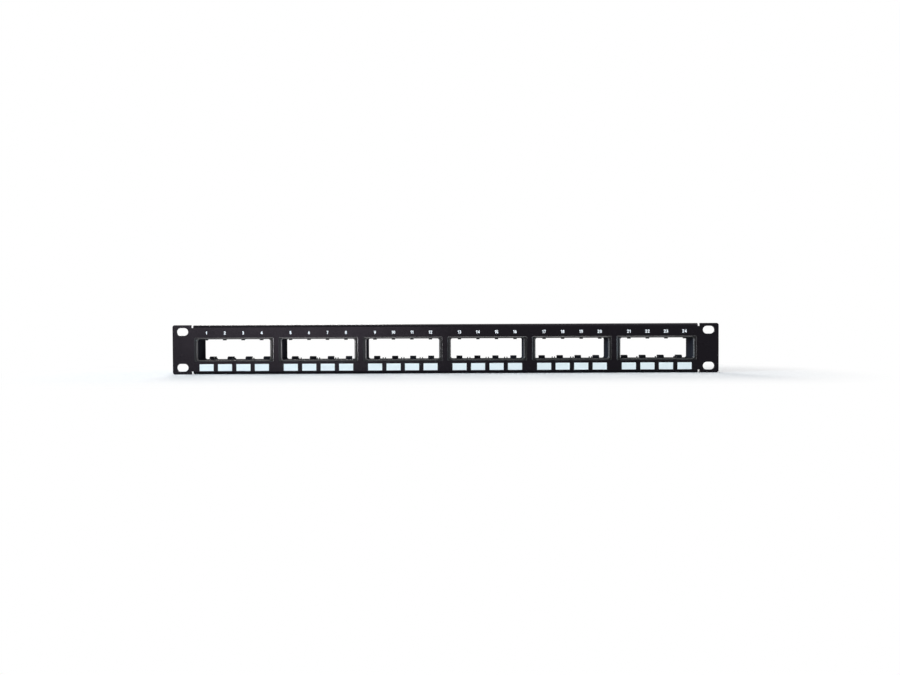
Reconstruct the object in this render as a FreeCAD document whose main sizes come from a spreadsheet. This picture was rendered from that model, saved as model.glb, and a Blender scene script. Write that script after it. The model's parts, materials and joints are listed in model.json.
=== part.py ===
"""Modular patch panel, one rack unit high, with 24 empty module openings in six snap-in faceplates.

Frame: +X to the right seen from the front, +Y to the rear, +Z up. The origin is the middle of the four rack
slots on the back face of the ears, which is the plane that bears on the rack rails.
"""
import FreeCAD, Part
import math
import os
import Sketcher
from FreeCAD import Vector

# Driving dimensions in millimetres: alias, value, what it is
SIZES = (
    ("sheet_thickness", 1.5, "steel sheet of the panel frame"),
    ("bend_radius", 1.0, "inside radius of the two folds"),
    ("flange_reach", 12.0, "rear edge of the flanges behind the ears"),
    ("flange_margin", 1.125, "flanges and front beyond the outer bezels"),
    ("relief_width", 1.8, "notch between a flange and an ear"),
    ("ear_width", 16.5, "ear beyond that notch"),
    ("ear_corner_radius", 2.0, "outer corners of the ears"),
    ("slot_inset_across", 8.75, "rack slot centres from the ends of the panel"),
    ("slot_inset_up", 5.955, "rack slot centres from the top and bottom of the panel"),
    ("slot_length", 10.3, "rack slot, end to end"),
    ("slot_height", 6.8, "rack slot, across"),
    ("bay_count", 6, "faceplates in the panel"),
    ("bay_gap", 4.45, "sheet between two bezels"),
    ("face_margin", 11.18, "sheet above and below the bezels"),
    ("port_count", 4, "module openings in a faceplate"),
    ("port_pitch", 16.35, "from one module opening to the next"),
    ("port_width", 15.3, "one module opening"),
    ("opening_height", 18.3, "clear height inside a faceplate"),
    ("opening_corner_radius", 1.6, "inside corners of a faceplate"),
    ("moulding_wall", 1.1, "walls of a faceplate"),
    ("fit_clearance", 0.15, "between a faceplate and its window"),
    ("bezel_lap_across", 1.7, "bezel beyond the window, to the left and right"),
    ("bezel_lap_up", 0.25, "bezel beyond the window, above and below"),
    ("bezel_thickness", 0.6, "bezel in front of the sheet"),
    ("bezel_corner_radius", 0.8, "corners of the bezel, seen from the front"),
    ("bezel_edge_chamfer", 0.3, "bevelled front edge of the bezel"),
    ("lip_height", 0.45, "lip round the opening, in front of the bezel"),
    ("lip_edge_chamfer", 0.3, "bevelled outer edge of the lip"),
    ("mouth_chamfer", 0.35, "lead-in at the front of the opening"),
    ("box_depth", 18.0, "rear edge of a faceplate behind the ears"),
    ("box_rear_chamfer", 0.4, "lead-in at the rear of a faceplate"),
    ("latch_width", 8.0, "snap latch tongue"),
    ("latch_length", 9.0, "snap latch tongue, free end to root"),
    ("latch_slit", 0.7, "slit round a tongue"),
    ("latch_gap", 0.1, "free end of a tongue behind the sheet"),
    ("barb_height", 1.0, "latch barb above the wall"),
    ("barb_land", 0.8, "flat top of a latch barb"),
    ("barb_length", 6.0, "latch barb with its ramp"),
    ("divider_rib", 0.8, "thickness of a divider rib"),
    ("divider_gap", 1.3, "between the two ribs of a divider"),
    ("divider_height", 1.9, "divider above the opening's floor"),
    ("divider_depth", 1.6, "divider, front to rear"),
    ("rest_width", 5.4, "module rest block"),
    ("rest_height", 2.4, "module rest above the opening's floor"),
    ("rest_depth", 4.0, "module rest, front to rear"),
    ("rest_ramp", 1.2, "sloped front edge of a module rest"),
    ("rest_setback", 13.5, "front of the module rests behind the ears"),
    ("catch_width", 3.0, "catch for a module at the top of the opening"),
    ("catch_height", 0.9, "catch below the opening's ceiling"),
    ("catch_land", 0.7, "flat underside of a catch"),
    ("catch_depth", 1.6, "catch, front to rear"),
    ("label_width", 12.4, "write-on label"),
    ("label_height", 6.1, "write-on label"),
    ("label_thickness", 0.12, "write-on label"),
    ("label_gap", 2.15, "label below the bezel"),
)

# Sizes that follow from the driving dimensions
OPENING_WIDTH = "((Sizes.port_count - 1) * Sizes.port_pitch + Sizes.port_width)"
BOX_WIDTH = f"({OPENING_WIDTH} + 2 * Sizes.moulding_wall)"
BOX_HEIGHT = "(Sizes.opening_height + 2 * Sizes.moulding_wall)"
WINDOW_WIDTH = f"({BOX_WIDTH} + 2 * Sizes.fit_clearance)"
WINDOW_HEIGHT = f"({BOX_HEIGHT} + 2 * Sizes.fit_clearance)"
BEZEL_WIDTH = f"({WINDOW_WIDTH} + 2 * Sizes.bezel_lap_across)"
BEZEL_HEIGHT = f"({WINDOW_HEIGHT} + 2 * Sizes.bezel_lap_up)"
BEZEL_FRONT = "(-Sizes.sheet_thickness - Sizes.bezel_thickness)"
LIP_FRONT = f"({BEZEL_FRONT} - Sizes.lip_height)"
LIP_CORNER_RADIUS = "(Sizes.opening_corner_radius + Sizes.moulding_wall)"
BEZEL_EDGE = "min(Sizes.bezel_edge_chamfer; 0.9 * Sizes.bezel_corner_radius; 0.6 * Sizes.bezel_thickness)"
BAY_PITCH = f"({BEZEL_WIDTH} + Sizes.bay_gap)"
PANEL_HALF_HEIGHT = f"({BEZEL_HEIGHT} / 2 + Sizes.face_margin)"
FLAT_HALF_HEIGHT = f"({PANEL_HALF_HEIGHT} - Sizes.sheet_thickness - Sizes.bend_radius)"
FLANGE_HALF_LENGTH = f"((Sizes.bay_count * {BAY_PITCH} - Sizes.bay_gap) / 2 + Sizes.flange_margin)"
EAR_START = f"({FLANGE_HALF_LENGTH} + Sizes.relief_width)"
PANEL_HALF_WIDTH = f"({EAR_START} + Sizes.ear_width)"
OUTER_BEND_RADIUS = "(Sizes.bend_radius + Sizes.sheet_thickness)"
FIRST_BAY = f"(-(Sizes.bay_count - 1) / 2 * {BAY_PITCH})"
FIRST_PORT = "(-(Sizes.port_count - 1) / 2 * Sizes.port_pitch)"
FIRST_DIVIDER = f"({FIRST_PORT} + Sizes.port_pitch / 2)"
WALL_MIDDLE = "(Sizes.opening_height / 2 + Sizes.moulding_wall / 2)"

# How a sketch numbers the points of a line or an arc
START, END, CENTRE = range(1, 4)

NEAR = 0.001

doc = FreeCAD.newDocument("modular_patch_panel")
sheet = doc.addObject("Spreadsheet::Sheet", "Sizes")
for row, (alias, value, note) in enumerate(SIZES, start=1):
    sheet.set(f"A{row}", note)
    sheet.set(f"B{row}", str(value))
    sheet.setAlias(f"B{row}", alias)
doc.recompute()


def size(expression):
    """The present value of an expression on the sheet."""
    return float(sheet.evalExpression(expression))


def origin_feature(body, role):
    """The plane or axis of a body's own origin that has this role."""
    return next(feature for feature in body.Origin.OriginFeatures if feature.Role == role)


def add_sketch(body, name, role, offset="0"):
    """A sketch on one of the body's origin planes, moved along the plane's normal by an expression."""
    sketch = body.newObject("Sketcher::SketchObject", name)
    sketch.AttachmentSupport = (origin_feature(body, role), "")
    sketch.MapMode = "FlatFace"
    sketch.setExpression("AttachmentOffset.Base.z", offset)
    return sketch


def constrain(sketch, kind, *where, expression=None):
    """One constraint, which follows an expression if it has a value."""
    if expression is None:
        sketch.addConstraint(Sketcher.Constraint(kind, *where))
        return
    index = sketch.addConstraint(Sketcher.Constraint(kind, *where, size(expression)))
    sketch.setExpression(f"Constraints[{index}]", expression)


def pin(sketch, geometry, vertex, across, up):
    """Holds a vertex at two expressions, measured from the sketch's origin."""
    constrain(sketch, "DistanceX", geometry, vertex, expression=across)
    constrain(sketch, "DistanceY", geometry, vertex, expression=up)


def arc_in_corner(before, corner, after, radius):
    """The centre of the arc that rounds a corner, and the points where it meets the two sides."""
    back = (before - corner).normalize()
    ahead = (after - corner).normalize()
    half_angle = back.getAngle(ahead) / 2
    centre = corner + (back + ahead).normalize() * (radius / math.sin(half_angle))
    setback = radius / math.tan(half_angle)
    return centre, corner + back * setback, corner + ahead * setback


def add_arc(sketch, centre, radius, start, end):
    """An arc that runs anticlockwise from start to end."""
    start_angle = math.atan2(start.y - centre.y, start.x - centre.x)
    end_angle = math.atan2(end.y - centre.y, end.x - centre.x)
    circle = Part.Circle(centre, Vector(0, 0, 1), radius)
    return sketch.addGeometry(Part.ArcOfCircle(circle, start_angle, end_angle))


def round_corner(sketch, line_in, line_out, corner, points):
    """An arc tangent to two sides, whose lines still point at the corner itself."""
    across, up, radius = corner
    before, place, after = points
    centre, first, last = arc_in_corner(before, place, after, size(radius))
    turns_left = (place - before).cross(after - place).z > 0
    if turns_left:
        arc = add_arc(sketch, centre, size(radius), first, last)
        constrain(sketch, "Tangent", line_in, END, arc, START)
        constrain(sketch, "Tangent", line_out, START, arc, END)
    else:
        arc = add_arc(sketch, centre, size(radius), last, first)
        constrain(sketch, "Tangent", line_in, END, arc, END)
        constrain(sketch, "Tangent", line_out, START, arc, START)
    constrain(sketch, "Radius", arc, expression=radius)
    corner_point = sketch.addGeometry(Part.Point(place), True)
    pin(sketch, corner_point, START, across, up)
    constrain(sketch, "PointOnObject", corner_point, START, line_in)
    constrain(sketch, "PointOnObject", corner_point, START, line_out)


def add_outline(sketch, corners):
    """A closed outline. Each corner has expressions for its place, and for the radius that rounds it."""
    points = [Vector(size(across), size(up), 0) for across, up, radius in corners]
    following = points[1:] + points[:1]
    line_ends = list(points)
    line_starts = list(points)
    for i, (across, up, radius) in enumerate(corners):
        if radius:
            arc = arc_in_corner(points[i - 1], points[i], following[i], size(radius))
            centre, line_ends[i], line_starts[i] = arc
    next_ends = line_ends[1:] + line_ends[:1]
    lines = [sketch.addGeometry(Part.LineSegment(*ends)) for ends in zip(line_starts, next_ends)]
    for i, (across, up, radius) in enumerate(corners):
        if radius:
            around = (points[i - 1], points[i], following[i])
            round_corner(sketch, lines[i - 1], lines[i], corners[i], around)
        else:
            constrain(sketch, "Coincident", lines[i - 1], END, lines[i], START)
            pin(sketch, lines[i], START, across, up)


def add_rectangle(sketch, left, right, bottom, top, radius=None):
    """A rectangle between four expressions, with one radius for its corners."""
    corners = [(left, bottom), (right, bottom), (right, top), (left, top)]
    add_outline(sketch, [(across, up, radius) for across, up in corners])


def add_centred_rectangle(sketch, middle, width, height, radius=None):
    """A rectangle about a middle on the sketch's own level line, with one radius for its corners."""
    left = f"{middle} - {width} / 2"
    right = f"{middle} + {width} / 2"
    add_rectangle(sketch, left, right, f"-{height} / 2", f"{height} / 2", radius)


def add_slot(sketch, across, up, length, height):
    """A slot with round ends, which runs to the left and right of its middle."""
    radius = size(f"{height} / 2")
    reach = size(f"({length} - {height}) / 2")
    middle = Vector(size(across), size(up), 0)
    left = middle - Vector(reach, 0, 0)
    right = middle + Vector(reach, 0, 0)
    rise = Vector(0, radius, 0)
    left_arc = add_arc(sketch, left, radius, left + rise, left - rise)
    right_arc = add_arc(sketch, right, radius, right - rise, right + rise)
    bottom = sketch.addGeometry(Part.LineSegment(left - rise, right - rise))
    top = sketch.addGeometry(Part.LineSegment(right + rise, left + rise))
    constrain(sketch, "Tangent", left_arc, END, bottom, START)
    constrain(sketch, "Tangent", bottom, END, right_arc, START)
    constrain(sketch, "Tangent", right_arc, END, top, START)
    constrain(sketch, "Tangent", top, END, left_arc, START)
    constrain(sketch, "Radius", right_arc, expression=f"{height} / 2")
    pin(sketch, left_arc, CENTRE, f"{across} - ({length} - {height}) / 2", up)
    pin(sketch, right_arc, CENTRE, f"{across} + ({length} - {height}) / 2", up)


def add_pad(body, name, sketch, length, side="One side", backward=False):
    """Material along the sketch's normal, or against it."""
    pad = body.newObject("PartDesign::Pad", name)
    pad.Profile = sketch
    pad.SideType = side
    pad.Reversed = backward
    pad.setExpression("Length", length)
    return pad


def add_through_cut(body, name, sketch):
    """A cut through everything on both sides of the sketch."""
    pocket = body.newObject("PartDesign::Pocket", name)
    pocket.Profile = sketch
    pocket.SideType = "Symmetric"
    pocket.Type = "ThroughAll"
    return pocket


def add_row(body, name, feature, spacing, count):
    """Copies of a feature along X."""
    row_of_copies = body.newObject("PartDesign::LinearPattern", name)
    row_of_copies.Originals = [feature]
    row_of_copies.Direction = (origin_feature(body, "X_Axis"), [""])
    row_of_copies.Mode = "Spacing"
    row_of_copies.setExpression("Offset", spacing)
    row_of_copies.setExpression("Occurrences", count)
    body.Tip = row_of_copies


def edges_at_depth(shape, depth, width, height):
    """Names of the edges that lie at one depth, inside a width and a height about the middle."""
    names = []
    for i, edge in enumerate(shape.Edges, start=1):
        box = edge.BoundBox
        at_depth = abs(box.YMin - depth) < NEAR and abs(box.YMax - depth) < NEAR
        reach_across = max(abs(box.XMin), abs(box.XMax))
        reach_up = max(abs(box.ZMin), abs(box.ZMax))
        if at_depth and reach_across < width / 2 + NEAR and reach_up < height / 2 + NEAR:
            names.append(f"Edge{i}")
    return names


def chamfer_edges(body, name, depth, width, height, expression):
    """A chamfer on the edges of the body so far that lie at one depth, inside a width and a height."""
    doc.recompute()
    base = body.Tip
    chamfer = body.newObject("PartDesign::Chamfer", name)
    chamfer.Base = (base, edges_at_depth(base.Shape, size(depth), size(width), size(height)))
    chamfer.setExpression("Size", expression)


def make_panel_frame():
    """The folded steel sheet: front with six windows, two slotted ears, a flange above and below."""
    body = doc.addObject("PartDesign::Body", "panel_frame")
    inner = f"({PANEL_HALF_HEIGHT} - Sizes.sheet_thickness)"
    front = "-Sizes.sheet_thickness"
    section = add_sketch(body, "folded_section", "YZ_Plane")
    add_outline(section, [
        ("Sizes.flange_reach", f"-{PANEL_HALF_HEIGHT}", None),
        (front, f"-{PANEL_HALF_HEIGHT}", OUTER_BEND_RADIUS),
        (front, PANEL_HALF_HEIGHT, OUTER_BEND_RADIUS),
        ("Sizes.flange_reach", PANEL_HALF_HEIGHT, None),
        ("Sizes.flange_reach", inner, None),
        ("0", inner, "Sizes.bend_radius"),
        ("0", f"-{inner}", "Sizes.bend_radius"),
        ("Sizes.flange_reach", f"-{inner}", None),
    ])
    add_pad(body, "folded_front", section, f"2 * {FLANGE_HALF_LENGTH}", side="Symmetric")
    add_ears(body)
    windows = add_sketch(body, "window_outline", "XZ_Plane")
    add_centred_rectangle(windows, FIRST_BAY, WINDOW_WIDTH, WINDOW_HEIGHT)
    window = add_through_cut(body, "window", windows)
    add_row(body, "windows", window, BAY_PITCH, "Sizes.bay_count")
    return body


def add_ears(body):
    """The flat sheet between the folds, carried on to the ears, which stand the full height."""
    radius = "Sizes.ear_corner_radius"
    flat = add_sketch(body, "flat_outline", "XZ_Plane")
    add_outline(flat, [
        (f"-{PANEL_HALF_WIDTH}", f"-{PANEL_HALF_HEIGHT}", radius),
        (f"-{EAR_START}", f"-{PANEL_HALF_HEIGHT}", None),
        (f"-{EAR_START}", f"-{FLAT_HALF_HEIGHT}", None),
        (EAR_START, f"-{FLAT_HALF_HEIGHT}", None),
        (EAR_START, f"-{PANEL_HALF_HEIGHT}", None),
        (PANEL_HALF_WIDTH, f"-{PANEL_HALF_HEIGHT}", radius),
        (PANEL_HALF_WIDTH, PANEL_HALF_HEIGHT, radius),
        (EAR_START, PANEL_HALF_HEIGHT, None),
        (EAR_START, FLAT_HALF_HEIGHT, None),
        (f"-{EAR_START}", FLAT_HALF_HEIGHT, None),
        (f"-{EAR_START}", PANEL_HALF_HEIGHT, None),
        (f"-{PANEL_HALF_WIDTH}", PANEL_HALF_HEIGHT, radius),
    ])
    add_pad(body, "flat_front_and_ears", flat, "Sizes.sheet_thickness")
    slots = add_sketch(body, "slot_outlines", "XZ_Plane")
    across = f"({PANEL_HALF_WIDTH} - Sizes.slot_inset_across)"
    up = f"({PANEL_HALF_HEIGHT} - Sizes.slot_inset_up)"
    for place in ((f"-{across}", f"-{up}"), (f"-{across}", up), (across, f"-{up}"), (across, up)):
        add_slot(slots, *place, "Sizes.slot_length", "Sizes.slot_height")
    add_through_cut(body, "rack_slots", slots)


def make_faceplate(number):
    """One moulding that snaps into a window from the front and takes four modules side by side."""
    body = doc.addObject("PartDesign::Body", f"faceplate_{number}")
    add_bezel(body)
    add_lip(body)
    add_box(body)
    add_latches(body)
    add_dividers(body)
    add_module_rests(body)
    add_catches(body)
    body.setExpression("Placement.Base.x", f"{FIRST_BAY} + {number - 1} * {BAY_PITCH}")
    return body


def add_bezel(body):
    """The thin rim that laps over the window, with a bevelled front edge."""
    outline = add_sketch(body, "bezel_outline", "XZ_Plane", "Sizes.sheet_thickness")
    add_centred_rectangle(outline, "0", BEZEL_WIDTH, BEZEL_HEIGHT, "Sizes.bezel_corner_radius")
    add_pad(body, "bezel", outline, "Sizes.bezel_thickness")
    chamfer_edges(body, "bezel_edge", BEZEL_FRONT, BEZEL_WIDTH, BEZEL_HEIGHT, BEZEL_EDGE)


def add_lip(body):
    """The raised lip round the opening, in front of the bezel, with a bevelled outer edge."""
    outline = add_sketch(body, "lip_outline", "XZ_Plane", f"-{BEZEL_FRONT}")
    add_centred_rectangle(outline, "0", BOX_WIDTH, BOX_HEIGHT, LIP_CORNER_RADIUS)
    add_pad(body, "lip", outline, "Sizes.lip_height")
    chamfer_edges(body, "lip_edge", LIP_FRONT, BOX_WIDTH, BOX_HEIGHT, "Sizes.lip_edge_chamfer")


def add_box(body):
    """The open box behind the lip, with a lead-in at its mouth and at its rear."""
    outside = add_sketch(body, "box_outline", "XZ_Plane", f"-{BEZEL_FRONT}")
    add_centred_rectangle(outside, "0", BOX_WIDTH, BOX_HEIGHT)
    add_pad(body, "box", outside, f"Sizes.box_depth - {BEZEL_FRONT}", backward=True)
    chamfer_edges(body, "box_rear", "Sizes.box_depth", BOX_WIDTH, BOX_HEIGHT, "Sizes.box_rear_chamfer")
    inside = add_sketch(body, "opening_outline", "XZ_Plane")
    add_centred_rectangle(inside, "0", OPENING_WIDTH, "Sizes.opening_height", "Sizes.opening_corner_radius")
    add_through_cut(body, "opening", inside)
    chamfer_edges(body, "mouth", LIP_FRONT, OPENING_WIDTH, "Sizes.opening_height", "Sizes.mouth_chamfer")


def add_latches(body):
    """Four tongues cut free of the top and bottom walls, each with a barb that catches behind the sheet."""
    middle = f"(-{FIRST_DIVIDER})"
    root = "(Sizes.latch_gap + Sizes.latch_length)"
    inner = "Sizes.latch_width / 2"
    outer = "(Sizes.latch_width / 2 + Sizes.latch_slit)"
    slit = add_sketch(body, "latch_slit_outline", "XY_Plane")
    add_outline(slit, [
        (f"{middle} - {outer}", "Sizes.latch_gap - Sizes.latch_slit", None),
        (f"{middle} + {outer}", "Sizes.latch_gap - Sizes.latch_slit", None),
        (f"{middle} + {outer}", root, None),
        (f"{middle} + {inner}", root, None),
        (f"{middle} + {inner}", "Sizes.latch_gap", None),
        (f"{middle} - {inner}", "Sizes.latch_gap", None),
        (f"{middle} - {inner}", root, None),
        (f"{middle} - {outer}", root, None),
    ])
    slits = add_through_cut(body, "latch_slits", slit)
    barb_outlines = add_sketch(body, "barb_outlines", "YZ_Plane", middle)
    for sign in ("-1", "1"):
        add_barb_outline(barb_outlines, sign)
    barbs = add_pad(body, "latch_barbs", barb_outlines, "Sizes.latch_width", side="Symmetric")
    both_sides = body.newObject("PartDesign::Mirrored", "latches_both_sides")
    both_sides.Originals = [slits, barbs]
    both_sides.MirrorPlane = (origin_feature(body, "YZ_Plane"), [""])
    body.Tip = both_sides


def add_barb_outline(sketch, sign):
    """A barb on the top or bottom wall: upright face behind the sheet, flat top, ramp to the rear."""
    wall = f"({sign} * {WALL_MIDDLE})"
    surface = f"({sign} * {BOX_HEIGHT} / 2)"
    crest = f"({sign} * ({BOX_HEIGHT} / 2 + Sizes.barb_height))"
    add_outline(sketch, [
        ("Sizes.latch_gap", wall, None),
        ("Sizes.latch_gap", crest, None),
        ("Sizes.latch_gap + Sizes.barb_land", crest, None),
        ("Sizes.latch_gap + Sizes.barb_length", surface, None),
        ("Sizes.latch_gap + Sizes.barb_length", wall, None),
    ])


def add_dividers(body):
    """A pair of short ribs on the floor between each two modules, flush with the bezel."""
    ribs = add_sketch(body, "divider_outline", "XZ_Plane", f"-{BEZEL_FRONT}")
    floor = f"-{WALL_MIDDLE}"
    top = "-Sizes.opening_height / 2 + Sizes.divider_height"
    near = "Sizes.divider_gap / 2"
    far = "(Sizes.divider_gap / 2 + Sizes.divider_rib)"
    add_rectangle(ribs, f"{FIRST_DIVIDER} - {far}", f"{FIRST_DIVIDER} - {near}", floor, top)
    add_rectangle(ribs, f"{FIRST_DIVIDER} + {near}", f"{FIRST_DIVIDER} + {far}", floor, top)
    divider = add_pad(body, "divider", ribs, "Sizes.divider_depth", backward=True)
    add_row(body, "dividers", divider, "Sizes.port_pitch", "Sizes.port_count - 1")


def add_module_rests(body):
    """A block on the floor behind each module opening, with a sloped front edge to ride over."""
    outline = add_sketch(body, "rest_outline", "YZ_Plane", FIRST_PORT)
    floor = f"-{WALL_MIDDLE}"
    top = "(-Sizes.opening_height / 2 + Sizes.rest_height)"
    rear = "Sizes.rest_setback + Sizes.rest_depth"
    add_outline(outline, [
        ("Sizes.rest_setback", floor, None),
        (rear, floor, None),
        (rear, top, None),
        ("Sizes.rest_setback + Sizes.rest_ramp", top, None),
        ("Sizes.rest_setback", f"{top} - Sizes.rest_ramp", None),
    ])
    rest = add_pad(body, "module_rest", outline, "Sizes.rest_width", side="Symmetric")
    add_row(body, "module_rests", rest, "Sizes.port_pitch", "Sizes.port_count")


def add_catches(body):
    """A small catch under the ceiling of each module opening, sloped away to the rear."""
    outline = add_sketch(body, "catch_outline", "YZ_Plane", FIRST_PORT)
    ceiling = "Sizes.opening_height / 2"
    underside = f"({ceiling} - Sizes.catch_height)"
    rear = f"{BEZEL_FRONT} + Sizes.catch_depth"
    add_outline(outline, [
        (BEZEL_FRONT, WALL_MIDDLE, None),
        (BEZEL_FRONT, underside, None),
        (f"{BEZEL_FRONT} + Sizes.catch_land", underside, None),
        (rear, ceiling, None),
        (rear, WALL_MIDDLE, None),
    ])
    catch = add_pad(body, "catch", outline, "Sizes.catch_width", side="Symmetric")
    add_row(body, "catches", catch, "Sizes.port_pitch", "Sizes.port_count")


def make_label(bay, port, number):
    """A thin write-on field on the front of the sheet, centred under its port."""
    label = doc.addObject("Part::Box", f"write_on_label_{number:02d}")
    middle = f"{FIRST_BAY} + {bay} * {BAY_PITCH} + {FIRST_PORT} + {port} * Sizes.port_pitch"
    bottom = f"-{BEZEL_HEIGHT} / 2 - Sizes.label_gap - Sizes.label_height"
    label.setExpression("Length", "Sizes.label_width")
    label.setExpression("Width", "Sizes.label_thickness")
    label.setExpression("Height", "Sizes.label_height")
    label.setExpression("Placement.Base.x", f"{middle} - Sizes.label_width / 2")
    label.setExpression("Placement.Base.y", "-Sizes.sheet_thickness - Sizes.label_thickness")
    label.setExpression("Placement.Base.z", bottom)
    return label


def check_document(pieces):
    """Stops the build if an object failed, a cut cut nothing or a piece is not one sound solid."""
    for item in doc.Objects:
        if "Invalid" in item.State or "Error" in item.State:
            raise RuntimeError(f"{item.Name} failed: {item.State}")
        if item.TypeId == "PartDesign::Pocket":
            if item.Shape.Volume > item.BaseFeature.Shape.Volume - NEAR:
                raise RuntimeError(f"{item.Name} cut nothing")
    for piece in pieces:
        shape = piece.Shape
        if shape.isNull() or not shape.isValid() or len(shape.Solids) != 1:
            raise RuntimeError(f"{piece.Label} is not one sound solid")


def main():
    bay_count = int(size("Sizes.bay_count"))
    port_count = int(size("Sizes.port_count"))
    pieces = [make_panel_frame()]
    for bay in range(bay_count):
        pieces.append(make_faceplate(bay + 1))
        for port in range(port_count):
            pieces.append(make_label(bay, port, bay * port_count + port + 1))
    doc.recompute()
    check_document(pieces)
    os.makedirs("parts", exist_ok=True)
    for piece in pieces:
        piece.Shape.exportStep(f"parts/{piece.Label}.step")


main()
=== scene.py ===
"""Looks of the modular patch panel: finishes, printed port numbers, a white studio and the camera.

Everything is in metres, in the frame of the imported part: +X to the right seen from the front, +Y to the
rear, +Z up.
"""
import json
import math

import bmesh
import bpy
from mathutils import Matrix, Vector
from mathutils.geometry import delaunay_2d_cdt


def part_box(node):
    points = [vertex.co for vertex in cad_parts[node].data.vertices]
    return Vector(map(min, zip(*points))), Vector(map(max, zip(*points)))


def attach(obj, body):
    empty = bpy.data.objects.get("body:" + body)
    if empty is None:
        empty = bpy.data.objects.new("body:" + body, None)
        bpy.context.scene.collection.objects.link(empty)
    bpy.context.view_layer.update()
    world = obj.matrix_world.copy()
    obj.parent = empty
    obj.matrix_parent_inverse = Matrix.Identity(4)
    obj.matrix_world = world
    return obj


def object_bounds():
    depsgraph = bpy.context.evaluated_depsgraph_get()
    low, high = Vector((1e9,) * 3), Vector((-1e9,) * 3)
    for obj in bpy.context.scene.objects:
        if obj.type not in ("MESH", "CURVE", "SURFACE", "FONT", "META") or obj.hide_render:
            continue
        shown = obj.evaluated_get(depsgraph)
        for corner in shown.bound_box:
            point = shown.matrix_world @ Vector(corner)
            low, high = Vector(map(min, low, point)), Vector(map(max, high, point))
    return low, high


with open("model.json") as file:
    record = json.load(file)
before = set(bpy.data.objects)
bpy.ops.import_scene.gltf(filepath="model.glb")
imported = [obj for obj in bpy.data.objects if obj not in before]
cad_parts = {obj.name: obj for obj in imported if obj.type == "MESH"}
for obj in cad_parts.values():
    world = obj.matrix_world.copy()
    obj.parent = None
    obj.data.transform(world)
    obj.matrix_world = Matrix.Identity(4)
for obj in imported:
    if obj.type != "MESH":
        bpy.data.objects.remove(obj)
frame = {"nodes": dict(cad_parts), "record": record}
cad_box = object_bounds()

MM = 0.001

# Camera, as the panel is seen: place, small turns in degrees from level, lens for a sensor 36 mm wide
CAMERA_PLACE = Vector((8.5, -613.7, 19.3)) * MM
CAMERA_LEVEL = 90
CAMERA_PITCH = -0.876
CAMERA_YAW = 0.376
CAMERA_ROLL = -0.254
CAMERA_LENS = 27.72
CAMERA_NEAR = 10 * MM
MATRIX_SIZE = 4

# Studio: a white background, and a dome that lights the panel softly from all round
BACKGROUND = (1.0, 1.0, 1.0, 1.0)
BACKGROUND_STRENGTH = 1.0
DOME = (0.86, 0.93, 1.0, 1.0)
DOME_STRENGTH = 0.10

# Floor: pale, faintly speckled, and fading into the background between two distances from the panel
FLOOR_COLOURS = ((0.86, 0.86, 0.86, 1.0), (0.90, 0.90, 0.90, 1.0))
FLOOR_SPECKLE = 4 * MM
FLOOR_ROUGHNESS = 0.9
FLOOR_SPECULAR = 0.1
FLOOR_RADIUS = 6.0
FLOOR_SIDES = 96
FLOOR_FADE = (0.01, 0.14)

# Lamps: name, place, width, height, power in watts, colour; each faces the panel's middle
LAMPS = (
    ("key_window", (-0.42, -1.30, 0.13), 0.70, 0.30, 4.8, (0.97, 0.95, 0.98)),
    ("left_window", (-2.50, -0.95, 0.50), 0.80, 0.80, 64.0, (0.68, 0.86, 1.0)),
    ("left_strip", (-1.22, 0.12, 0.08), 0.55, 0.35, 2.5, (0.88, 0.94, 1.0)),
    ("right_strip", (1.22, -0.12, 0.06), 0.50, 0.16, 8.0, (0.96, 0.94, 1.0)),
    ("high_fill", (0.60, -1.10, 1.30), 0.80, 0.80, 4.4, (0.96, 0.98, 1.0)),
    ("overhead", (0.0, 0.12, 1.20), 1.20, 0.50, 7.5, (1.0, 1.0, 1.0)),
    ("rear_fill", (-0.60, 1.50, 0.70), 0.80, 0.60, 18.0, (1.0, 0.99, 0.97)),
)

# Noise: the middle part of its values that is stretched over a range, and its levels of detail
NOISE_MIDDLE = (0.3, 0.7)
WHOLE_RANGE = (0.0, 1.0)
DETAIL_LOW = 2.0
DETAIL_MIDDLE = 3.0
DETAIL_HIGH = 4.0

# Finishes: colours between which each varies, gloss, sizes of noise, and relief as strength and depth
POWDER_COAT = {
    "colours": ((0.0029, 0.0024, 0.0033, 1.0), (0.0051, 0.0043, 0.0060, 1.0)),
    "specular": 0.10,
    "tint": (0.97, 0.86, 1.0, 1.0),
    "roughness": (0.23, 0.30),
    "cloud_size": 18 * MM,
    "grain_size": 0.35 * MM,
    "grain_relief": (0.25, 0.04 * MM),
    "peel_size": 1.4 * MM,
    "peel_relief": (0.25, 0.08 * MM),
    "edge_radius": 0.25 * MM,
}
FACEPLATE_PLASTIC = {
    "front_colours": ((0.0045, 0.0045, 0.0052, 1.0), (0.0075, 0.0075, 0.0085, 1.0)),
    # The inside is paler and bluer than the front of the same plastic: painted bluish light on the bay
    # walls.
    "inside_colours_painted_blue_light": ((0.0165, 0.0168, 0.0215, 1.0), (0.0235, 0.0240, 0.0300, 1.0)),
    "sheen": {"lip": 0.44, "bezel": 0.14, "edge": 1.0, "inside": 0.0},
    "rear_sheen": 0.40,
    "dullness": {"lip": 0.18, "bezel": 0.34, "edge": 0.18, "inside": 0.80},
    "added_dullness": (0.0, 0.10),
    "cloud_size": 11 * MM,
    "grain_size": 0.22 * MM,
    "grain_relief": (0.14, 0.02 * MM),
    "sink_size": 6 * MM,
    "sink_relief": (0.10, 0.08 * MM),
    "edge_radius": 0.25 * MM,
}
LABEL_FILM = {
    "colours": ((0.75, 0.83, 0.83, 1.0), (0.81, 0.87, 0.87, 1.0)),
    "specular": 0.30,
    "roughness": (0.50, 0.62),
    "cloud_size": 5 * MM,
    "grain_size": 0.30 * MM,
    "grain_detail": DETAIL_HIGH,
    "grain_relief": (0.10, 0.02 * MM),
}
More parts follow.
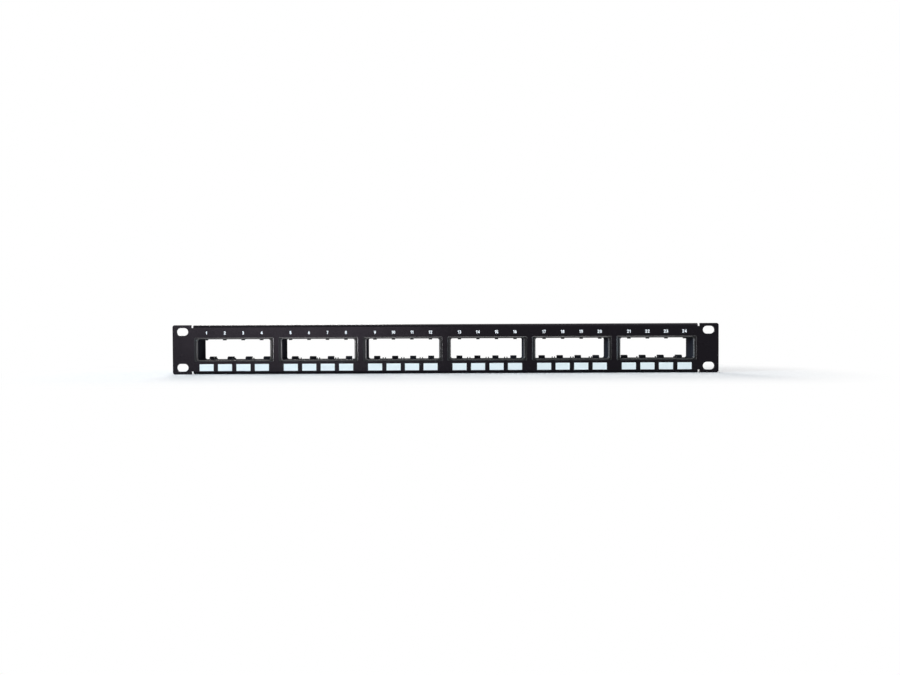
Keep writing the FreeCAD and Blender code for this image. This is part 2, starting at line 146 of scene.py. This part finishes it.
NUMBER_INK = {
    "colours": ((0.86, 0.89, 0.90, 1.0), (0.93, 0.94, 0.95, 1.0)),
    "specular": 0.30,
    "roughness": (0.42, 0.55),
    "cloud_size": 3 * MM,
    "grain_size": 0.25 * MM,
    "grain_detail": DETAIL_MIDDLE,
    "grain_relief": (0.10, 0.01 * MM),
}

# Depths where a moulding's lip passes into its bezel, that into its edge, and the edge into its inside
LIP_ENDS = (-2.25 * MM, -2.15 * MM)
BEZEL_ENDS = (-2.08 * MM, -2.04 * MM)
EDGE_ENDS = (-1.7 * MM, -1.4 * MM)

# How squarely a face looks to the rear, from where its sheen starts to where it is full
REAR_FACING = (0.5, 1.0)

# Port numbers: printed above the bays, centred on the write-on labels below
PORT_COUNT = 24
NUMBER_MIDDLE_BELOW_TOP = 7.0 * MM
NUMBER_HEIGHT = 2.85 * MM
NUMBER_THICKNESS = 0.02 * MM

# Digits: each is one high and drawn with round-ended strokes, its measures are in parts of its height
DIGIT_STROKE = 0.22
DIGIT_GAP = 0.11
DIGIT_LOW = 0.10
DIGIT_MIDDLE = 0.50
DIGIT_HIGH = 0.90
DIGIT_CLOSED = 0.001
DIGIT_ARC_STEP = 18
DIGIT_END_SIDES = 16
MERGE_INTO_FACES = 4
MERGE_MARGIN = 1e-6


def new_node(tree, kind, **values):
    """A shader node whose named inputs are set. Underscores in a name stand for spaces."""
    node = tree.nodes.new(kind)
    for name, value in values.items():
        node.inputs[name.replace("_", " ")].default_value = value
    return node


def start_material(name):
    """An empty node material with one Principled shader on its output."""
    material = bpy.data.materials.new(name)
    material.use_nodes = True
    tree = material.node_tree
    tree.nodes.clear()
    output = tree.nodes.new("ShaderNodeOutputMaterial")
    shader = tree.nodes.new("ShaderNodeBsdfPrincipled")
    tree.links.new(shader.outputs["BSDF"], output.inputs["Surface"])
    return material, tree, shader


def add_place(tree):
    """The place on the surface, in the piece's own frame."""
    return tree.nodes.new("ShaderNodeTexCoord").outputs["Object"]


def add_depth(tree, vector):
    """How far a vector goes to the rear."""
    axes = tree.nodes.new("ShaderNodeSeparateXYZ")
    tree.links.new(vector, axes.inputs["Vector"])
    return axes.outputs["Y"]


def add_math(tree, operation, first, second):
    """Two values added, multiplied or the like."""
    result = tree.nodes.new("ShaderNodeMath")
    result.operation = operation
    tree.links.new(first, result.inputs[0])
    tree.links.new(second, result.inputs[1])
    return result.outputs["Value"]


def add_map(tree, source, from_range, to_range, interpolation="LINEAR"):
    """A value carried from one range over to another, and held at the ends."""
    mapped = tree.nodes.new("ShaderNodeMapRange")
    mapped.interpolation_type = interpolation
    for name, ends in (("From", from_range), ("To", to_range)):
        mapped.inputs[f"{name} Min"].default_value = ends[0]
        mapped.inputs[f"{name} Max"].default_value = ends[1]
    tree.links.new(source, mapped.inputs["Value"])
    return mapped.outputs["Result"]


def add_noise(tree, size, detail=DETAIL_LOW):
    """Noise with features of about this size in metres."""
    noise = new_node(tree, "ShaderNodeTexNoise", Scale=1.0 / size, Detail=detail)
    tree.links.new(add_place(tree), noise.inputs["Vector"])
    return noise.outputs["Fac"]


def add_range(tree, noise, to_range=WHOLE_RANGE):
    """The middle of a noise's values, stretched over a range."""
    return add_map(tree, noise, NOISE_MIDDLE, to_range)


def add_colour_mix(tree, share):
    """A node that goes from its colour A to its colour B as a share goes from 0 to 1."""
    mix = tree.nodes.new("ShaderNodeMix")
    mix.data_type = "RGBA"
    tree.links.new(share, mix.inputs["Factor"])
    return mix


def add_blend(tree, noise, colours):
    """A colour that varies between two fixed colours by a noise."""
    mix = add_colour_mix(tree, add_range(tree, noise))
    mix.inputs["A"].default_value = colours[0]
    mix.inputs["B"].default_value = colours[1]
    return mix.outputs["Result"]


def add_shader_mix(tree, share, first, second):
    """A surface or a light that goes from one shader to another as a share goes from 0 to 1."""
    mix = tree.nodes.new("ShaderNodeMixShader")
    tree.links.new(share, mix.inputs["Fac"])
    tree.links.new(first, mix.inputs[1])
    tree.links.new(second, mix.inputs[2])
    return mix.outputs["Shader"]


def add_bumps(tree, shader, layers, edge_radius=None):
    """Layers of relief, each a height source with its strength and depth, over softly rounded edges."""
    normal = None
    if edge_radius:
        rounded = new_node(tree, "ShaderNodeBevel", Radius=edge_radius)
        normal = rounded.outputs["Normal"]
    for source, (strength, depth) in layers:
        bump = new_node(tree, "ShaderNodeBump", Strength=strength, Distance=depth)
        tree.links.new(source, bump.inputs["Height"])
        if normal:
            tree.links.new(normal, bump.inputs["Normal"])
        normal = bump.outputs["Normal"]
    tree.links.new(normal, shader.inputs["Normal"])


def add_depth_step(tree, depths, values):
    """A value that passes from one to another between two depths in the part's own frame."""
    return add_map(tree, add_depth(tree, add_place(tree)), depths, values)


def add_colour_step(tree, depths, before, after):
    """A colour that passes from one to another between two depths in the part's own frame."""
    mix = add_colour_mix(tree, add_depth_step(tree, depths, WHOLE_RANGE))
    tree.links.new(before, mix.inputs["A"])
    tree.links.new(after, mix.inputs["B"])
    return mix.outputs["Result"]


def add_moulding_zones(tree, lip, bezel, edge, inside):
    """A value of its own for the mouldings' lip, their bezel, its edge and their inside."""
    value = add_depth_step(tree, LIP_ENDS, (lip, bezel))
    for depths, change in ((BEZEL_ENDS, edge - bezel), (EDGE_ENDS, inside - edge)):
        value = add_math(tree, "ADD", value, add_depth_step(tree, depths, (0.0, change)))
    return value


def add_rear_value(tree, value):
    """A value on faces that look to the rear, and none on faces that look to the sides or the front."""
    surface = tree.nodes.new("ShaderNodeNewGeometry")
    return add_map(tree, add_depth(tree, surface.outputs["True Normal"]), REAR_FACING, (0.0, value))


def make_powder_coat(look):
    """Satin black powder coat with a fine orange peel."""
    material, tree, shader = start_material("powder_coat")
    shader.inputs["Specular IOR Level"].default_value = look["specular"]
    shader.inputs["Specular Tint"].default_value = look["tint"]
    clouds = add_noise(tree, look["cloud_size"], DETAIL_MIDDLE)
    grain = add_noise(tree, look["grain_size"])
    peel = add_noise(tree, look["peel_size"])
    tree.links.new(add_blend(tree, grain, look["colours"]), shader.inputs["Base Color"])
    tree.links.new(add_range(tree, clouds, look["roughness"]), shader.inputs["Roughness"])
    relief = [(peel, look["peel_relief"]), (grain, look["grain_relief"])]
    add_bumps(tree, shader, relief, look["edge_radius"])
    return material


def make_faceplate_plastic(look):
    """Black moulded plastic: a bright lip, a satin bezel with a bright edge, and a dull grain inside,
    painted paler and bluer there as painted bluish light on the bay walls.
    """
    material, tree, shader = start_material("faceplate_plastic")
    clouds = add_noise(tree, look["cloud_size"], DETAIL_MIDDLE)
    grain = add_noise(tree, look["grain_size"])
    sink = add_noise(tree, look["sink_size"])
    front = add_blend(tree, clouds, look["front_colours"])
    # Painted light: a paler, bluer colour for the inside than for the front stands in for bluish light on
    # the bay walls.
    inside = add_blend(tree, clouds, look["inside_colours_painted_blue_light"])
    tree.links.new(add_colour_step(tree, EDGE_ENDS, front, inside), shader.inputs["Base Color"])
    sheen = add_moulding_zones(tree, **look["sheen"])
    sheen = add_math(tree, "ADD", sheen, add_rear_value(tree, look["rear_sheen"]))
    tree.links.new(sheen, shader.inputs["Specular IOR Level"])
    dullness = add_moulding_zones(tree, **look["dullness"])
    dullness = add_math(tree, "ADD", dullness, add_range(tree, clouds, look["added_dullness"]))
    tree.links.new(dullness, shader.inputs["Roughness"])
    relief = [(sink, look["sink_relief"]), (grain, look["grain_relief"])]
    add_bumps(tree, shader, relief, look["edge_radius"])
    return material


def make_matte_white(name, look):
    """White film or print: a fine grain in its colour and relief, and clouds in its roughness."""
    material, tree, shader = start_material(name)
    shader.inputs["Specular IOR Level"].default_value = look["specular"]
    grain = add_noise(tree, look["grain_size"], look["grain_detail"])
    clouds = add_noise(tree, look["cloud_size"])
    tree.links.new(add_blend(tree, grain, look["colours"]), shader.inputs["Base Color"])
    tree.links.new(add_range(tree, clouds, look["roughness"]), shader.inputs["Roughness"])
    add_bumps(tree, shader, [(grain, look["grain_relief"])])
    return material


def finish_nodes():
    """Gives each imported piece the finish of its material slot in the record."""
    finishes = {
        "powder_coat": make_powder_coat(POWDER_COAT),
        "faceplate_plastic": make_faceplate_plastic(FACEPLATE_PLASTIC),
        "label_white": make_matte_white("label_white", LABEL_FILM),
    }
    for row in frame["record"]["subparts"]:
        node = frame["nodes"][row["node"]]
        node.data.materials.clear()
        node.data.materials.append(finishes[row["material_slot"]])


def arc(middle, radii, start, end):
    """Points along an arc of an ellipse, between two angles in degrees."""
    steps = round(abs(end - start) / DIGIT_ARC_STEP)
    angles = [math.radians(start + (end - start) * step / steps) for step in range(steps + 1)]
    return [(middle[0] + radii[0] * math.cos(a), middle[1] + radii[1] * math.sin(a)) for a in angles]


def digit_paths(digit):
    """The middle lines of a digit's strokes, about the digit's own middle line."""
    low, high = DIGIT_LOW, DIGIT_HIGH
    paths = {
        "0": [arc((0, 0.50), (0.20, 0.40), 0, 360)],
        "1": [[(-0.14, 0.74), (0.04, high)], [(0.04, high), (0.04, low)]],
        "2": [arc((0, 0.68), (0.20, 0.22), 165, -30) + [(-0.20, low)], [(-0.20, low), (0.21, low)]],
        "3": [arc((0, 0.70), (0.18, 0.20), 150, -90), arc((0, 0.30), (0.20, 0.20), 90, -150)],
        "4": [[(0.10, low), (0.10, high)], [(0.10, high), (-0.26, 0.33)], [(-0.26, 0.33), (0.22, 0.33)]],
        "5": [[(0.17, high), (-0.15, high)], [(-0.15, high), (-0.163, 0.494)],
              arc((-0.01, 0.34), (0.20, 0.24), 140, -145)],
        "6": [arc((0, 0.32), (0.20, 0.22), 0, 360), arc((0.12, 0.36), (0.32, 0.54), 180, 95)],
        "7": [[(-0.20, high), (0.20, high)], [(0.20, high), (-0.06, low)]],
        "8": [arc((0, 0.70), (0.17, 0.20), 0, 360), arc((0, 0.30), (0.20, 0.20), 0, 360)],
        "9": [arc((0, 0.68), (0.20, 0.22), 0, 360), arc((-0.12, 0.64), (0.32, 0.54), 0, -85)],
    }
    return [[Vector(point) for point in path] for path in paths[digit]]


def stroke_shapes(path):
    """The flat shapes of one stroke: its runs, and round ends where it doesn't close on itself."""
    reach = DIGIT_STROKE / 2
    closed = (path[0] - path[-1]).length < DIGIT_CLOSED
    before_first = path[-2] if closed else path[0]
    after_last = path[1] if closed else path[-1]
    befores = [before_first] + path[:-1]
    afters = path[1:] + [after_last]
    sides = []
    for point, before, after in zip(path, befores, afters):
        along = (after - before).normalized()
        across = Vector((-along.y, along.x)) * reach
        sides.append((point + across, point - across))
    shapes = [[start[1], end[1], end[0], start[0]] for start, end in zip(sides, sides[1:])]
    if not closed:
        turns = [math.tau * side / DIGIT_END_SIDES for side in range(DIGIT_END_SIDES)]
        rim = [Vector((math.cos(turn), math.sin(turn))) * reach for turn in turns]
        shapes += [[end + point for point in rim] for end in (path[0], path[-1])]
    return shapes


def number_shapes(text):
    """The flat shapes of a number's digits, set side by side about the number's middle."""
    shapes = []
    right = 0.0
    for digit in text:
        of_digit = [shape for path in digit_paths(digit) for shape in stroke_shapes(path)]
        left = min(point.x for shape in of_digit for point in shape)
        shift = Vector((right - left, 0))
        placed = [[point + shift for point in shape] for shape in of_digit]
        right = max(point.x for shape in placed for point in shape) + DIGIT_GAP
        shapes += placed
    middle = Vector(((right - DIGIT_GAP) / 2, DIGIT_MIDDLE))
    return [[point - middle for point in shape] for shape in shapes]


def make_number_mesh(text):
    """A number as one thin layer of ink, upright and facing the front, about its middle."""
    corners = []
    faces = []
    for shape in number_shapes(text):
        faces.append(list(range(len(corners), len(corners) + len(shape))))
        corners += shape
    points, _, inked, _, _, sources = delaunay_2d_cdt(corners, [], faces, MERGE_INTO_FACES, MERGE_MARGIN)
    layer = bmesh.new()
    verts = [layer.verts.new(Vector((point.x, 0.0, point.y)) * NUMBER_HEIGHT) for point in points]
    for face, source in zip(inked, sources):
        if source:
            layer.faces.new([verts[index] for index in face])
    loose = [vert for vert in verts if not vert.link_faces]
    bmesh.ops.delete(layer, geom=loose, context="VERTS")
    bmesh.ops.solidify(layer, geom=layer.faces[:], thickness=NUMBER_THICKNESS)
    mesh = bpy.data.meshes.new(f"port_number_{text}")
    layer.to_mesh(mesh)
    layer.free()
    return mesh


def add_port_numbers():
    """The numbers 1 to 24, one above each label, on the front of the sheet."""
    ink = make_matte_white("number_ink", NUMBER_INK)
    sheet_low, sheet_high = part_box("panel_frame")
    for number in range(1, PORT_COUNT + 1):
        label_low, label_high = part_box(f"write_on_label_{number:02d}")
        mesh = make_number_mesh(str(number))
        mesh.materials.append(ink)
        piece = bpy.data.objects.new(f"port_number_{number:02d}", mesh)
        bpy.context.scene.collection.objects.link(piece)
        piece.location = (
            (label_low.x + label_high.x) / 2,
            sheet_low.y - NUMBER_THICKNESS,
            sheet_high.z - NUMBER_MIDDLE_BELOW_TOP,
        )
        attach(piece, "root")


def add_background_rays(tree):
    """1 for what the camera sees, straight or by gloss or through glass, else 0."""
    light_path = tree.nodes.new("ShaderNodeLightPath")
    rays = light_path.outputs["Is Camera Ray"]
    for name in ("Is Glossy Ray", "Is Transmission Ray"):
        rays = add_math(tree, "MAXIMUM", rays, light_path.outputs[name])
    return rays


def add_world():
    """A soft dome of light, with the white background in view."""
    world = bpy.data.worlds.new("studio")
    bpy.context.scene.world = world
    world.use_nodes = True
    tree = world.node_tree
    tree.nodes.clear()
    output = tree.nodes.new("ShaderNodeOutputWorld")
    dome = new_node(tree, "ShaderNodeBackground", Color=DOME, Strength=DOME_STRENGTH)
    backdrop = new_node(tree, "ShaderNodeBackground", Color=BACKGROUND, Strength=BACKGROUND_STRENGTH)
    rays = add_background_rays(tree)
    light = add_shader_mix(tree, rays, dome.outputs["Background"], backdrop.outputs["Background"])
    tree.links.new(light, output.inputs["Surface"])


def add_vector_math(tree, operation, vector):
    """A node that works on a vector."""
    result = tree.nodes.new("ShaderNodeVectorMath")
    result.operation = operation
    tree.links.new(vector, result.inputs[0])
    return result


def add_distance_from_panel(tree):
    """How far a place on the floor lies outside the panel's own outline, seen from above."""
    from_middle = add_vector_math(tree, "ABSOLUTE", add_place(tree))
    past_edge = add_vector_math(tree, "SUBTRACT", from_middle.outputs["Vector"])
    past_edge.inputs[1].default_value = (cad_box[1] - cad_box[0]) / 2
    outside = add_vector_math(tree, "MAXIMUM", past_edge.outputs["Vector"])
    distance = add_vector_math(tree, "LENGTH", outside.outputs["Vector"])
    return distance.outputs["Value"]


def make_floor_material():
    """A pale floor that keeps the shadow near the panel and passes into the background further out."""
    material, tree, shader = start_material("studio_floor")
    output = shader.outputs["BSDF"].links[0].to_node
    speckle = add_noise(tree, FLOOR_SPECKLE, DETAIL_MIDDLE)
    tree.links.new(add_blend(tree, speckle, FLOOR_COLOURS), shader.inputs["Base Color"])
    shader.inputs["Roughness"].default_value = FLOOR_ROUGHNESS
    shader.inputs["Specular IOR Level"].default_value = FLOOR_SPECULAR
    fade = add_map(tree, add_distance_from_panel(tree), FLOOR_FADE, WHOLE_RANGE, "SMOOTHSTEP")
    share = add_math(tree, "MULTIPLY", fade, add_background_rays(tree))
    backdrop = new_node(tree, "ShaderNodeEmission", Color=BACKGROUND, Strength=BACKGROUND_STRENGTH)
    surface = add_shader_mix(tree, share, shader.outputs["BSDF"], backdrop.outputs["Emission"])
    tree.links.new(surface, output.inputs["Surface"])
    return material


def add_floor():
    """A wide round floor under the panel's lower edge."""
    mesh = bpy.data.meshes.new("studio_floor")
    shape = bmesh.new()
    bmesh.ops.create_circle(shape, cap_ends=True, segments=FLOOR_SIDES, radius=FLOOR_RADIUS)
    shape.to_mesh(mesh)
    shape.free()
    mesh.materials.append(make_floor_material())
    floor = bpy.data.objects.new("studio_floor", mesh)
    floor.location = (cad_box[0] + cad_box[1]) / 2
    floor.location.z = cad_box[0].z
    bpy.context.scene.collection.objects.link(floor)


def add_lamps():
    """Soft boxes that face the panel's middle and stay out of the picture."""
    for name, place, width, height, power, colour in LAMPS:
        lamp = bpy.data.lights.new(name, "AREA")
        lamp.shape = "RECTANGLE"
        lamp.size = width
        lamp.size_y = height
        lamp.energy = power
        lamp.color = colour
        holder = bpy.data.objects.new(name, lamp)
        holder.location = place
        holder.rotation_euler = (-Vector(place)).to_track_quat("-Z", "Y").to_euler()
        holder.visible_camera = False
        bpy.context.scene.collection.objects.link(holder)


def add_camera():
    """The camera at the photograph's viewing angle."""
    lens = bpy.data.cameras.new("camera")
    lens.lens = CAMERA_LENS
    lens.clip_start = CAMERA_NEAR
    camera = bpy.data.objects.new("camera", lens)
    bpy.context.scene.collection.objects.link(camera)
    stand = Matrix.Translation(CAMERA_PLACE)
    for turn, axis in ((CAMERA_YAW, "Z"), (CAMERA_LEVEL + CAMERA_PITCH, "X"), (CAMERA_ROLL, "Z")):
        stand = stand @ Matrix.Rotation(math.radians(turn), MATRIX_SIZE, axis)
    camera.matrix_world = stand
    bpy.context.scene.camera = camera


finish_nodes()
add_port_numbers()
add_world()
add_floor()
add_lamps()
add_camera()
bpy.context.scene.view_settings.view_transform = "Standard"
